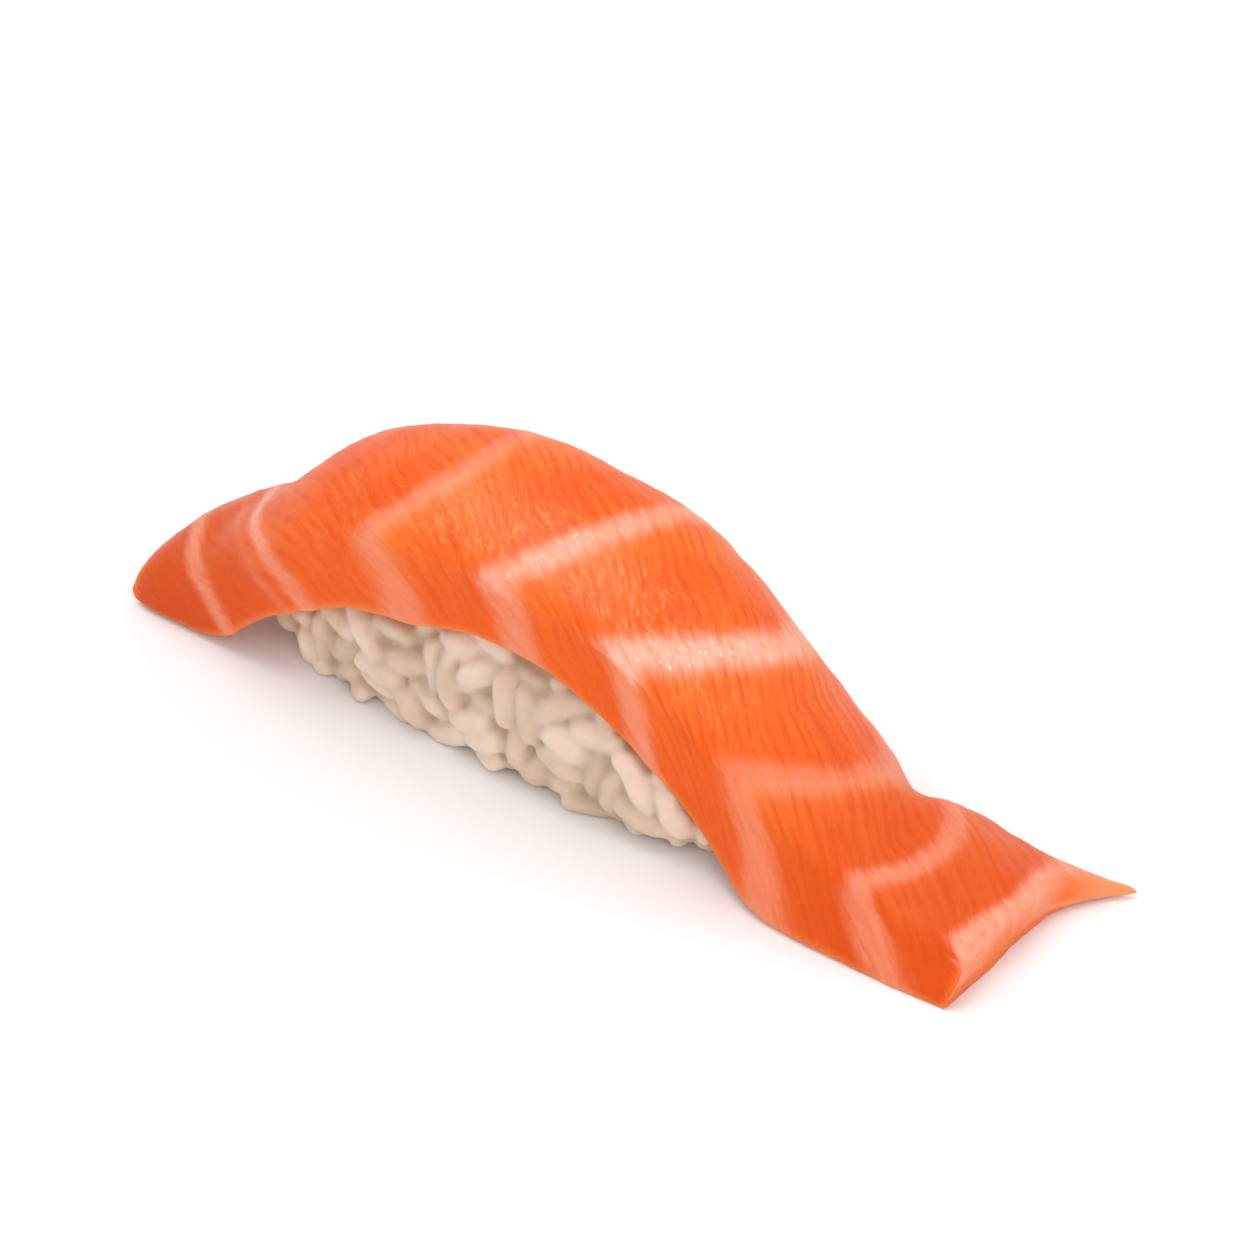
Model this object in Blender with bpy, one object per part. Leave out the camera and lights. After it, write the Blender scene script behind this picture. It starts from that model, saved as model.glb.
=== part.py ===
"""Salmon nigiri: a thick slice of raw salmon laid over an oblong bed of pressed rice.

Metres, +Z up. X runs along the slice, and -Y is the side where the slice shows its thick cut edge
with the rice below it. The slice bends over the rice and both of its ends come down to the surface.
"""

from collections import namedtuple

import bmesh
import bpy
import numpy as np

MM = 0.001
GAP = 0.3  # mm between the slice and the rice

# The slice, in mm. A station is a section across it at x, as (y, z) of its lower front edge, of
# the ridge where the front cut meets the top, of the crest and of the upper back edge, then its
# thickness under the crest and at the back edge.
Station = namedtuple("Station", "x low ridge crest edge middle back")
STATIONS = (
    Station(-44.7, (-11.4, 0.0), (-11.1, 2.6), (-5.2, 4.1), (-3.2, 3.6), 3.4, 2.0),
    Station(-43.0, (-11.6, 0.0), (-11.1, 3.6), (-4.2, 5.8), (-0.2, 5.4), 4.2, 2.2),
    Station(-40.0, (-11.7, 0.0), (-11.2, 5.3), (-3.0, 7.9), (2.6, 6.6), 5.0, 2.4),
    Station(-37.0, (-11.8, 0.0), (-11.4, 7.1), (-2.6, 9.4), (4.2, 7.8), 5.6, 2.8),
    Station(-34.0, (-11.8, 1.0), (-11.6, 9.2), (-2.6, 11.7), (5.6, 9.8), 6.2, 3.0),
    Station(-31.0, (-11.9, 3.5), (-11.9, 11.4), (-2.6, 14.6), (6.8, 11.6), 6.8, 3.2),
    Station(-27.0, (-12.2, 6.2), (-12.3, 14.2), (-2.6, 18.2), (7.8, 13.2), 7.2, 3.4),
    Station(-23.0, (-12.4, 8.5), (-12.5, 16.4), (-2.6, 20.6), (8.6, 14.2), 7.2, 3.5),
    Station(-18.0, (-12.7, 10.6), (-12.7, 18.8), (-2.6, 22.6), (9.2, 14.8), 7.0, 3.6),
    Station(-12.0, (-12.9, 11.8), (-12.9, 19.7), (-2.6, 23.6), (9.6, 15.0), 7.0, 3.6),
    Station(-6.0, (-13.0, 13.1), (-13.0, 19.9), (-2.6, 23.6), (9.7, 14.8), 7.0, 3.6),
    Station(0.0, (-13.0, 13.0), (-13.0, 19.6), (-2.8, 23.0), (9.6, 13.8), 7.0, 3.6),
    Station(6.0, (-13.0, 10.5), (-13.0, 18.5), (-4.0, 21.2), (9.4, 11.2), 7.0, 3.4),
    Station(12.0, (-13.0, 7.0), (-13.0, 15.6), (-5.0, 17.9), (8.6, 7.4), 7.0, 3.2),
    Station(17.0, (-13.3, 2.9), (-13.0, 12.3), (-5.5, 14.2), (7.6, 4.2), 7.0, 2.8),
    Station(22.0, (-15.1, 0.6), (-13.4, 9.8), (-6.5, 11.0), (6.6, 1.8), 7.0, 1.7),
    Station(28.0, (-16.3, 0.0), (-13.6, 7.3), (-8.0, 7.9), (3.8, 1.0), 7.0, 1.0),
    Station(30.0, (-16.4, 0.0), (-13.6, 6.6), (-8.5, 7.0), (5.2, 1.0), 7.0, 1.0),
    Station(35.0, (-16.5, 0.0), (-13.5, 5.2), (-9.0, 5.4), (4.7, 1.0), 7.0, 1.0),
    Station(39.0, (-16.6, 0.0), (-13.4, 4.5), (-9.5, 4.5), (4.3, 1.0), 6.0, 1.0),
    Station(41.5, (-16.6, 0.0), (-13.3, 4.1), (-9.5, 4.0), (5.0, 0.9), 6.0, 0.9),
)
FRONT_SHOULDER = 0.45  # how far from ridge to crest the top keeps rising straight
BACK_SHOULDER = 0.62  # how far from crest to back edge it stays level
EDGE_ROUNDING = 0.8  # softness of the slice's edges
END_ROUNDING = 1.0
TIP_FLARE = 4.6  # how far the right end's back corner runs out past the rest of that end
TIP_FLARE_START = -2.0  # y where that corner starts to run out
SLICE_SECTIONS = 62
SLICE_POINTS = 40

# The rice, in mm: an oblong bed with rounded corners and uneven sides.
RICE_X = (-31.5, 17.5)
RICE_Y = (-12.0, 8.2)
RICE_SKEW = 0.08  # how far it is turned under the slice
RICE_CORNER = 4.0  # exponent of its outline: 2 is an ellipse, more is squarer
RICE_BULGE = 0.9  # how far its sides swell out at mid height
RICE_TOP = 16.5
RICE_LUMP = 0.35
RICE_AROUND = 64
RICE_RINGS = 9
RICE_WALLS = 12

MIDDLE = (0.2, -3.0)  # the middle of its length and width, which becomes the origin


def smooth_through(xs, values, at):
    """A smooth curve through the values, each a row at one of xs."""
    values = np.asarray(values, float)
    slopes = np.gradient(values, xs, axis=0)
    i = np.clip(np.searchsorted(xs, at) - 1, 0, len(xs) - 2)
    step = (xs[i + 1] - xs[i])[:, None]
    t = (at - xs[i])[:, None] / step
    return (
        values[i] * (1 + 2 * t) * (1 - t) ** 2
        + slopes[i] * step * t * (1 - t) ** 2
        + values[i + 1] * (3 - 2 * t) * t**2
        + slopes[i + 1] * step * (t - 1) * t**2
    )


def stations_at(at):
    """The slice's station values at each x of at, one row each."""
    xs = np.array([s.x for s in STATIONS])
    rows = [np.hstack([np.ravel(value) for value in s[1:]]) for s in STATIONS]
    return smooth_through(xs, rows, np.asarray(at, float))


def bend(start, corner, end, t):
    """A quadratic curve from start to end that heads for corner."""
    t = t[:, None]
    return start * (1 - t) ** 2 + 2 * corner * t * (1 - t) + end * t**2


def top_and_underside(row):
    """The slice's top from ridge to back edge and its underside below it, as (y, z) points."""
    low, ridge, crest, edge = row[:8].reshape(4, 2)
    middle, back = row[8:]
    t = np.linspace(0, 1, 61)
    shoulder = np.array([ridge[0] + FRONT_SHOULDER * (crest[0] - ridge[0]), crest[1]])
    front = bend(ridge, shoulder, crest, t)
    shoulder = np.array([crest[0] + BACK_SHOULDER * (edge[0] - crest[0]), crest[1]])
    rear = bend(crest, shoulder, edge, t)
    top = np.vstack([front, rear[1:]])
    along = np.gradient(top, axis=0)
    along /= np.linalg.norm(along, axis=1)[:, None]
    normal = np.stack([-along[:, 1], along[:, 0]], 1)
    u = np.linspace(0, 1, len(top))
    face = ridge - low
    thick = np.interp(u, (0, 0.5, 1), (np.linalg.norm(face), middle, back))
    share = np.clip(1 - u / 0.4, 0, 1)[:, None] ** 1.5
    down = (1 - share) * normal + share * face / np.linalg.norm(face)
    down /= np.linalg.norm(down, axis=1)[:, None]
    return top, top - thick[:, None] * down


def evenly(points, count):
    """Points at equal steps along a closed outline."""
    closed = np.vstack([points, points[:1]])
    length = np.r_[0, np.cumsum(np.linalg.norm(np.diff(closed, axis=0), axis=1))]
    at = np.linspace(0, length[-1], count, endpoint=False)
    return np.stack([np.interp(at, length, closed[:, k]) for k in (0, 1)], 1), length[-1]


def softened(points, perimeter, radius):
    """The closed outline with its corners rounded."""
    step = perimeter / len(points)
    reach = max(1, int(round(2.5 * radius / step)))
    offsets = np.arange(-reach, reach + 1)
    weights = np.exp(-0.5 * (offsets * step / radius) ** 2)
    weights /= weights.sum()
    return sum(w * np.roll(points, k, axis=0) for w, k in zip(weights, offsets))


def slice_section(row, count):
    """The slice's closed section, from its lower front edge up and over and back along its underside."""
    top, under = top_and_underside(row)
    t = np.linspace(0, 1, 20)[:-1, None]
    front = row[:2] * (1 - t) + row[2:4] * t
    back = top[-1] * (1 - t) + under[-1] * t
    outline, perimeter = evenly(np.vstack([front, top, back[1:], under[::-1]]), 240)
    outline = softened(outline, perimeter, EDGE_ROUNDING)
    outline[:, 1] = np.maximum(outline[:, 1], 0)
    return outline[:: 240 // count]


def slice_points():
    """The slice as rows of points round each section, its ends drawn in a little."""
    first, last = STATIONS[0].x, STATIONS[-1].x
    inner = np.linspace(first + END_ROUNDING, last - END_ROUNDING, SLICE_SECTIONS - 6)
    ease = END_ROUNDING * (1 - np.cos(np.linspace(0, np.pi / 2, 4)[:-1]))
    at = np.r_[first + ease, inner, (last - ease)[::-1]]
    rows = []
    for x, row in zip(at, stations_at(at)):
        outline = slice_section(row, SLICE_POINTS)
        inset = min(x - first, last - x, END_ROUNDING) / END_ROUNDING
        shrink = 0.12 * (1 - np.sqrt(1 - (1 - inset) ** 2))
        centre = outline.mean(axis=0)
        centre[1] *= 0.5
        outline = outline + (centre - outline) * shrink
        run = np.clip((outline[:, 0] - TIP_FLARE_START) / (4.6 - TIP_FLARE_START), 0, 1) ** 1.6
        reach = np.clip((x - 34) / (last - 34), 0, 1) ** 2
        rows.append(np.column_stack([x + TIP_FLARE * run * reach, outline]))
    return np.array(rows)


def underside_height(x, y):
    """The height of the slice's underside over each (x, y)."""
    at = np.linspace(RICE_X[0] - 3, RICE_X[1] + 3, 56)
    across = np.linspace(RICE_Y[0] - 2, RICE_Y[1] + 2, 49)
    sheet = []
    for row in stations_at(at):
        under = top_and_underside(row)[1]
        sheet.append(np.interp(across, under[:, 0], under[:, 1]))
    sheet = np.array(sheet)
    i = np.clip((x - at[0]) / (at[1] - at[0]), 0, len(at) - 1.001)
    j = np.clip((y - across[0]) / (across[1] - across[0]), 0, len(across) - 1.001)
    a, b = i.astype(int), j.astype(int)
    i, j = i - a, j - b
    return (
        sheet[a, b] * (1 - i) * (1 - j)
        + sheet[a + 1, b] * i * (1 - j)
        + sheet[a, b + 1] * (1 - i) * j
        + sheet[a + 1, b + 1] * i * j
    )


def lumps(x, y, z):
    """Unevenness about a grain of rice across, between -1 and 1."""
    return (
        np.sin(1.31 * x + 0.7 * z + 0.4) * np.cos(1.17 * y - 0.9 * z)
        + 0.6 * np.sin(0.83 * y + 1.9 * z + 0.53 * x)
    ) / 1.6


def rice_points():
    """The rice as rings of points: over its top from the middle outwards, then down its side."""
    angle = np.linspace(0, 2 * np.pi, RICE_AROUND, endpoint=False)
    c, s = np.cos(angle), np.sin(angle)
    radius = (np.abs(c) ** RICE_CORNER + np.abs(s) ** RICE_CORNER) ** (-1 / RICE_CORNER)
    half = ((RICE_X[1] - RICE_X[0]) / 2, (RICE_Y[1] - RICE_Y[0]) / 2)
    middle = ((RICE_X[1] + RICE_X[0]) / 2, (RICE_Y[1] + RICE_Y[0]) / 2)
    rings = []
    for share in np.linspace(0, 1, RICE_RINGS + 1)[1:]:
        x = middle[0] + half[0] * radius * c * share * 0.93
        y = middle[1] + half[1] * radius * s * share * 0.93 - RICE_SKEW * (x - middle[0])
        z = np.minimum(RICE_TOP - 3.5 * share**4, underside_height(x, y) - GAP)
        rings.append(np.column_stack([x, y, z]))
    rim = rings[-1]
    for down in np.linspace(0, 1, RICE_WALLS + 1)[1:]:
        out = 0.93 + 0.07 * np.sin(min(down * 2.2, 1) * np.pi / 2)
        swell = RICE_BULGE * np.sin(np.pi * down) - 0.4 * down**6
        z = rim[:, 2] * (1 - down)
        x = middle[0] + (half[0] * out + swell) * radius * c
        y = middle[1] + (half[1] * out + swell) * radius * s - RICE_SKEW * (x - middle[0])
        lump = RICE_LUMP * lumps(x, y, z) * (1 - down**4)
        x, y = x + lump * c, y + lump * s
        z = np.minimum(z, np.maximum(underside_height(x, y) - GAP, 0))
        rings.append(np.column_stack([x, y, z]))
    return np.array(rings), np.array([*middle, rings[0][:, 2].mean()])


def build(name, rings, centre, material):
    """One closed body from rings of points, closed off flat or, at the first, to a point."""
    mesh = bpy.data.meshes.new(name)
    bm = bmesh.new()
    shift = np.array([*MIDDLE, 0.0])
    loops = [[bm.verts.new((p - shift) * MM) for p in ring] for ring in rings]
    for first, second in zip(loops, loops[1:]):
        for i in range(len(first)):
            j = (i + 1) % len(first)
            bm.faces.new((first[i], first[j], second[j], second[i]))
    ends = [loops[-1]]
    if centre is None:
        ends.append(loops[0])
    else:
        tip = bm.verts.new((centre - shift) * MM)
        for i in range(len(loops[0])):
            bm.faces.new((loops[0][i - 1], loops[0][i], tip))
    for loop in ends:
        half = len(loop) // 2
        for i in range(half):
            corners = dict.fromkeys(k % len(loop) for k in (i, i + 1, -i - 1, -i))
            bm.faces.new([loop[k] for k in corners])
    bmesh.ops.recalc_face_normals(bm, faces=bm.faces)
    bm.to_mesh(mesh)
    bm.free()
    mesh.polygons.foreach_set("use_smooth", [True] * len(mesh.polygons))
    obj = bpy.data.objects.new(name, mesh)
    obj.data.materials.append(material)
    bpy.context.collection.objects.link(obj)
    return obj


def material(name, colour, roughness):
    made = bpy.data.materials.new(name)
    made.use_nodes = True
    shader = made.node_tree.nodes["Principled BSDF"]
    shader.inputs["Base Color"].default_value = (*colour, 1)
    shader.inputs["Roughness"].default_value = roughness
    return made


def main():
    for obj in list(bpy.data.objects):
        bpy.data.objects.remove(obj)
    sections = slice_points()
    build("salmon_slice", sections, None, material("salmon", (0.85, 0.20, 0.06), 0.35))
    rings, summit = rice_points()
    build("rice_bed", rings, summit, material("rice", (0.80, 0.72, 0.62), 0.5))


main()
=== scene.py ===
"""The looks of the salmon nigiri: a wet, fat-striped slice of salmon over single grains of rice.

Shapes are worked out in millimetres, with the slice running along X, and put into the frame's
metres by to_frame. The slice follows the same stations as its CAD solid.
"""

from collections import namedtuple

import bpy
import numpy as np
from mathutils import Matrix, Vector
from mathutils.bvhtree import BVHTree
from mathutils.kdtree import KDTree


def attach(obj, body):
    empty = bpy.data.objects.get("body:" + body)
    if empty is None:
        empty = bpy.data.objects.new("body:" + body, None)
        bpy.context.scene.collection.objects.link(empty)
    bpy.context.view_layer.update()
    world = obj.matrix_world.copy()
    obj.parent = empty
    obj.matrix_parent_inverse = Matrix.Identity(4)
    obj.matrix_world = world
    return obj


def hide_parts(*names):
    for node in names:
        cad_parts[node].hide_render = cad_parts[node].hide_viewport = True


MM = 0.001
MIDDLE = np.array((0.2, -3.0, 0.0))  # mm, the slice's middle, which is the frame's origin
SEED = 11  # for the rice's random draws

# Each kind of unevenness has noise of its own
WAVE_SEEDS = (3, 4)
STRAND_SEEDS = (5, 6)
STRIPE_SEED = 7
GRAIN_SEED = 8
BACK_SEED = 9
STARCH_SEEDS = (12, 13)

# The slice, in mm. A station is a section across it at x, as (y, z) of its lower front edge, of
# the ridge where the front cut meets the top, of the crest and of the upper back edge, then its
# thickness under the crest and at the back edge.
Station = namedtuple("Station", "x low ridge crest edge middle back")
STATIONS = (
    Station(-44.7, (-11.4, 0.0), (-11.1, 2.6), (-5.2, 4.1), (-3.2, 3.6), 3.4, 2.0),
    Station(-43.0, (-11.6, 0.0), (-11.1, 3.6), (-4.2, 5.8), (-0.2, 5.4), 4.2, 2.2),
    Station(-40.0, (-11.7, 0.0), (-11.2, 5.3), (-3.0, 7.9), (2.6, 6.6), 5.0, 2.4),
    Station(-37.0, (-11.8, 0.0), (-11.4, 7.1), (-2.6, 9.4), (4.2, 7.8), 5.6, 2.8),
    Station(-34.0, (-11.8, 1.0), (-11.6, 9.2), (-2.6, 11.7), (5.6, 9.8), 6.2, 3.0),
    Station(-31.0, (-11.9, 3.5), (-11.9, 11.4), (-2.6, 14.6), (6.8, 11.6), 6.8, 3.2),
    Station(-27.0, (-12.2, 6.2), (-12.3, 14.2), (-2.6, 18.2), (7.8, 13.2), 7.2, 3.4),
    Station(-23.0, (-12.4, 8.5), (-12.5, 16.4), (-2.6, 20.6), (8.6, 14.2), 7.2, 3.5),
    Station(-18.0, (-12.7, 10.6), (-12.7, 18.8), (-2.6, 22.6), (9.2, 14.8), 7.0, 3.6),
    Station(-12.0, (-12.9, 11.8), (-12.9, 19.7), (-2.6, 23.6), (9.6, 15.0), 7.0, 3.6),
    Station(-6.0, (-13.0, 13.1), (-13.0, 19.9), (-2.6, 23.6), (9.7, 14.8), 7.0, 3.6),
    Station(0.0, (-13.0, 13.0), (-13.0, 19.6), (-2.8, 23.0), (9.6, 13.8), 7.0, 3.6),
    Station(6.0, (-13.0, 10.5), (-13.0, 18.5), (-4.0, 21.2), (9.4, 11.2), 7.0, 3.4),
    Station(12.0, (-13.0, 7.0), (-13.0, 15.6), (-5.0, 17.9), (8.6, 7.4), 7.0, 3.2),
    Station(17.0, (-13.3, 2.9), (-13.0, 12.3), (-5.5, 14.2), (7.6, 4.2), 7.0, 2.8),
    Station(22.0, (-15.1, 0.6), (-13.4, 9.8), (-6.5, 11.0), (6.6, 1.8), 7.0, 1.7),
    Station(28.0, (-16.3, 0.0), (-13.6, 7.3), (-8.0, 7.9), (3.8, 1.0), 7.0, 1.0),
    Station(30.0, (-16.4, 0.0), (-13.6, 6.6), (-8.5, 7.0), (5.2, 1.0), 7.0, 1.0),
    Station(35.0, (-16.5, 0.0), (-13.5, 5.2), (-9.0, 5.4), (4.7, 1.0), 7.0, 1.0),
    Station(39.0, (-16.6, 0.0), (-13.4, 4.5), (-9.5, 4.5), (4.3, 1.0), 6.0, 1.0),
    Station(41.5, (-16.6, 0.0), (-13.3, 4.1), (-9.5, 4.0), (5.0, 0.9), 6.0, 0.9),
)
FRONT_SHOULDER = 0.45  # how far from ridge to crest the top keeps rising straight
BACK_SHOULDER = 0.62  # how far from crest to back edge it stays level
CUT_SHARE = 0.4  # how far over the top the slice is still thick along the slant of its front cut
EDGE_ROUNDING = 0.7
SOFT_ROUNDING = 2.2  # the ridge towards the left end, where it fades out
SOFT_RIDGE_X = (-30.0, -14.0)
SOFT_RIDGE_REACH = (3.5, 2.5)  # how far round the ridge it is softer, over the top and down the cut
SOFT_RIDGE_SHARE = 0.75
ROUNDING_REACH = 2.5  # an outline is averaged over this many times its rounding
TIP_FLARE = 4.6  # how far the right end's back corner runs out past the rest of that end
TIP_FLARE_Y = (-2.0, 4.6)  # where that corner starts to run out, and where it is all the way out
TIP_FLARE_X = 34.0
CURVE_POINTS = 61  # points on each curve of the top, before they are spaced evenly
SLICE_ROWS = 330
FRONT_POINTS = 34  # points up the front cut
TOP_POINTS = 115  # points over the top, and again along the underside
BACK_POINTS = 16  # points down the back edge
END_INSET = 0.25  # where the rows stop short of the cut ends, which the caps' bulge makes up
CAP_RINGS = 7
CAP_BULGE = 0.5
CAP_LABEL_RUN = 3.0  # how far the flesh pattern runs on over the cut ends
FLESH_LOWEST = 0.02

# The fat stripes. Each leaves the ridge at x, swings by top mm to a furthest point reach mm back
# over the top, and runs down the front cut by slope and bow. Widths are on the top and the cut.
Stripe = namedtuple("Stripe", "x top reach slope bow wide wide_cut pale")
STRIPES = (
    Stripe(-37.4, -10.5, 28.0, 0.55, 0.00, 1.7, 2.0, 0.62),
    Stripe(-31.6, -12.5, 28.0, 0.70, 0.00, 1.2, 1.2, 0.20),
    Stripe(-29.2, -12.5, 28.0, 0.72, 0.00, 1.7, 2.0, 0.70),
    Stripe(-17.8, 6.4, 12.0, 1.20, -0.08, 2.6, 2.9, 0.57),
    Stripe(-4.2, 7.5, 16.0, 0.80, -0.05, 2.8, 3.0, 0.86),
    Stripe(7.9, 7.4, 13.5, 0.40, 0.00, 3.3, 3.4, 1.00),
    Stripe(19.3, 6.8, 11.0, 1.00, -0.05, 2.9, 3.7, 0.52),
    Stripe(31.0, 3.0, 7.5, 1.00, 0.00, 2.2, 3.3, 0.60),
    Stripe(40.2, 1.0, 7.0, 1.60, 0.00, 2.2, 1.4, 0.80),
)
STRIPE_WAVER = 0.3  # mm that a stripe strays from its line
STRIPE_WAVER_SIZE = 4.0
STRIPE_TURN = 2.0  # mm round the ridge over which a stripe turns from the top to the cut
STRIPE_FAR = 6.0  # half widths, where a stripe no longer matters
AFTER_STRIPE = 7.0  # mm of lighter flesh on its right
FIBRE_SLANT = (0.45, 1.15)  # how steeply the fibres run forwards, just after a stripe and before the next
CUT_SLANT = 0.7  # and how far they lean on the front cut
FIBRE_DRIFT = 0.6  # how far a place along the fibres shifts for each mm back over the top
FIBRE_STEPS = 900
CREST_STEPS = 200
PILLOW = 0.16  # mm that the flesh stands up between stripes
PILLOW_REACH = 3.0  # half widths from a stripe's middle, where it is all the way up
PILLOW_STEEPNESS = 0.7
PILLOW_LEVEL = 0.6  # the share of its rise that lies below the slice's own surface
FIBRE_RELIEF = 0.045
FIBRE_START = 1.4  # half widths from a stripe's middle, where the fibres' relief is full
STRAND_SCALES = ((1.0, 0.12, 0.5), (2.1, 0.25, 0.8))
WAVE = 0.22  # mm of gentle unevenness all over
WAVE_SIZES = (7.0, 3.2)
BACK_WAVER = 0.2  # mm that the thin back edge strays
BACK_WAVER_SIZE = 4.0
BACK_EDGE = (12.0, 18.0)  # mm over the top where that waver starts, and where it is full

# Grains of cooked short-grain rice, in mm
GRAIN_LENGTH = (5.0, 6.2)
GRAIN_WIDTH = (2.8, 3.3)
GRAIN_THICKNESS = (2.5, 2.9)
GRAIN_BLUNTNESS = 0.75  # exponent of its outline: 1 is an ellipse, less is blunter
GRAIN_TAPER = 0.10
GRAIN_CURL = 0.07  # how much it bends, for each mm squared along it
GRAIN_CURL_MIDDLE = 3.0  # mm squared, which keeps a curled grain centred
GRAIN_UNEVEN = 0.16
GRAIN_UNEVEN_SIZE = 1.7
GRAIN_UNEVEN_SHARES = (0.4, 1, 1)
GRAIN_APART = 7.3  # what sets one grain's unevenness apart from the next one's
GRAIN_LOWEST = 0.05
GRAIN_STEPS = 18
GRAIN_AROUND = 14
TRIED_PLACES = 9000  # of which those far enough apart are used, about 260
FIRST_SPACING = 3.2  # mm that the first places for grains keep apart
SPACING_STEP = 0.002  # how much less that is after each one

# For packing, a grain is three balls in a row
BALL_RADIUS = 1.3
BALL_SPACING = 1.45
BALL_OFFSETS = np.array([-1, 0, 1])[None, :, None]
BALL_DEPTH = (0.5, 1.15)  # how deep a grain's middle lies, in radii
BALL_TOUCH = 2 * BALL_RADIUS * 0.86  # how near the balls of two grains come
BALL_LEAST_GAP = 0.05
PACKING_ROUNDS = 60
PUSH_SHARE = 0.30  # of an overlap, made up in each round
SINK_SHARE = 0.7  # of the way to its depth that a ball too near the surface sinks in each round
RISE_SHARE = 0.25  # and that a ball too deep rises
LYING = 0.6  # how much of its upright share a direction keeps, so that grains mostly lie

# The core inside the grains, and the skin that joins them
CORE_INSET = 0.9
CORE_LENGTH = 0.98  # its share of the length that the inset leaves
CORE_LOWEST = 0.3
FUSE_VOXEL = 0.25
STICK_ROUNDS = 3
STICK_FACTOR = 0.5
STARCH = 0.1  # mm of unevenness over the stuck grains
STARCH_SIZES = (1.3, 0.6)
TONE_GRAINS = 3  # the nearest grains, whose tones blend
TONE_FALL = 6  # how fast a grain's tone fades with distance


# Helpers


def to_frame(points):
    """Points in mm, moved to the frame's origin and turned into metres."""
    return (np.asarray(points, float) - MIDDLE) * MM


def lattice(cell, seed):
    """A repeatable number from 0 to 1 for each whole-number cell."""
    cell = cell.astype(np.int64)
    mixed = cell[:, 0] * 73856093 ^ cell[:, 1] * 19349663 ^ cell[:, 2] * 83492791 ^ seed * 2654435
    mixed = (mixed ^ (mixed >> 13)) * 1274126177 & 0xFFFFFFFF
    mixed = (mixed ^ (mixed >> 16)) * 2246822519 & 0xFFFFFFFF
    return (mixed ^ (mixed >> 15) & 0xFFFF) % 65536 / 65535


def noise(points, seed):
    """Smooth noise from -1 to 1 that changes over about one unit."""
    points = np.asarray(points, float)
    cell = np.floor(points)
    part = points - cell
    part = part * part * (3 - 2 * part)
    total = np.zeros(len(points))
    for corner in np.ndindex(2, 2, 2):
        share = np.prod(np.where(corner, part, 1 - part), axis=1)
        total += share * lattice(cell + corner, seed)
    return total * 2 - 1


def passed(value, limits):
    """How far the value has gone from the first limit to the second, from 0 to 1."""
    return np.clip((value - limits[0]) / (limits[1] - limits[0]), 0, 1)


def add_values(mesh, label, values):
    """Keeps a number or a row of three for each vertex, for the material to read."""
    kind, field = ("FLOAT_VECTOR", "vector") if values.ndim == 2 else ("FLOAT", "value")
    attribute = mesh.attributes.new(label, kind, "POINT")
    attribute.data.foreach_set(field, values.astype(np.float32).ravel())


def new_object(name, points, faces, material, attributes=()):
    """A smooth mesh object from points in mm."""
    mesh = bpy.data.meshes.new(name)
    mesh.from_pydata(to_frame(points).tolist(), [], faces)
    mesh.polygons.foreach_set("use_smooth", [True] * len(mesh.polygons))
    for label, values in attributes:
        add_values(mesh, label, values)
    mesh.materials.append(material)
    obj = bpy.data.objects.new(name, mesh)
    bpy.context.scene.collection.objects.link(obj)
    return obj


# The slice


def smooth_through(xs, values, at):
    """A smooth curve through the values, each a row at one of xs."""
    slopes = np.gradient(values, xs, axis=0)
    i = np.clip(np.searchsorted(xs, at) - 1, 0, len(xs) - 2)
    step = (xs[i + 1] - xs[i])[:, None]
    t = (at - xs[i])[:, None] / step
    return (
        values[i] * (1 + 2 * t) * (1 - t) ** 2
        + slopes[i] * step * t * (1 - t) ** 2
        + values[i + 1] * (3 - 2 * t) * t**2
        + slopes[i + 1] * step * (t - 1) * t**2
    )


def stations_at(at):
    """The slice's station values at each x of at, one row each."""
    xs = np.array([s.x for s in STATIONS])
    rows = np.array([np.hstack([np.ravel(value) for value in s[1:]]) for s in STATIONS])
    return smooth_through(xs, rows, np.asarray(at, float))


def bend(start, corner, end, t):
    """A quadratic curve from start to end that heads for corner."""
    t = t[:, None]
    return start * (1 - t) ** 2 + 2 * corner * t * (1 - t) + end * t**2


def top_and_underside(row):
    """The slice's top from ridge to back edge and its underside below it, as (y, z) points."""
    low, ridge, crest, edge = row[:8].reshape(4, 2)
    middle, back = row[8:]
    t = np.linspace(0, 1, CURVE_POINTS)
    shoulder = np.array([ridge[0] + FRONT_SHOULDER * (crest[0] - ridge[0]), crest[1]])
    front = bend(ridge, shoulder, crest, t)
    shoulder = np.array([crest[0] + BACK_SHOULDER * (edge[0] - crest[0]), crest[1]])
    rear = bend(crest, shoulder, edge, t)
    top = np.vstack([front, rear[1:]])
    along = np.gradient(top, axis=0)
    along /= np.linalg.norm(along, axis=1)[:, None]
    normal = np.stack([-along[:, 1], along[:, 0]], 1)
    u = np.linspace(0, 1, len(top))
    face = ridge - low
    thick = np.interp(u, (0, 0.5, 1), (np.linalg.norm(face), middle, back))
    share = np.clip(1 - u / CUT_SHARE, 0, 1)[:, None] ** 1.5
    down = (1 - share) * normal + share * face / np.linalg.norm(face)
    down /= np.linalg.norm(down, axis=1)[:, None]
    return top, top - thick[:, None] * down


def evenly(points, count):
    """Rows at equal steps along a line whose first two columns are its shape, without the last one."""
    length = np.r_[0, np.cumsum(np.linalg.norm(np.diff(points[:, :2], axis=0), axis=1))]
    at = np.linspace(0, length[-1], count, endpoint=False)
    return np.column_stack([np.interp(at, length, column) for column in points.T])


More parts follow.
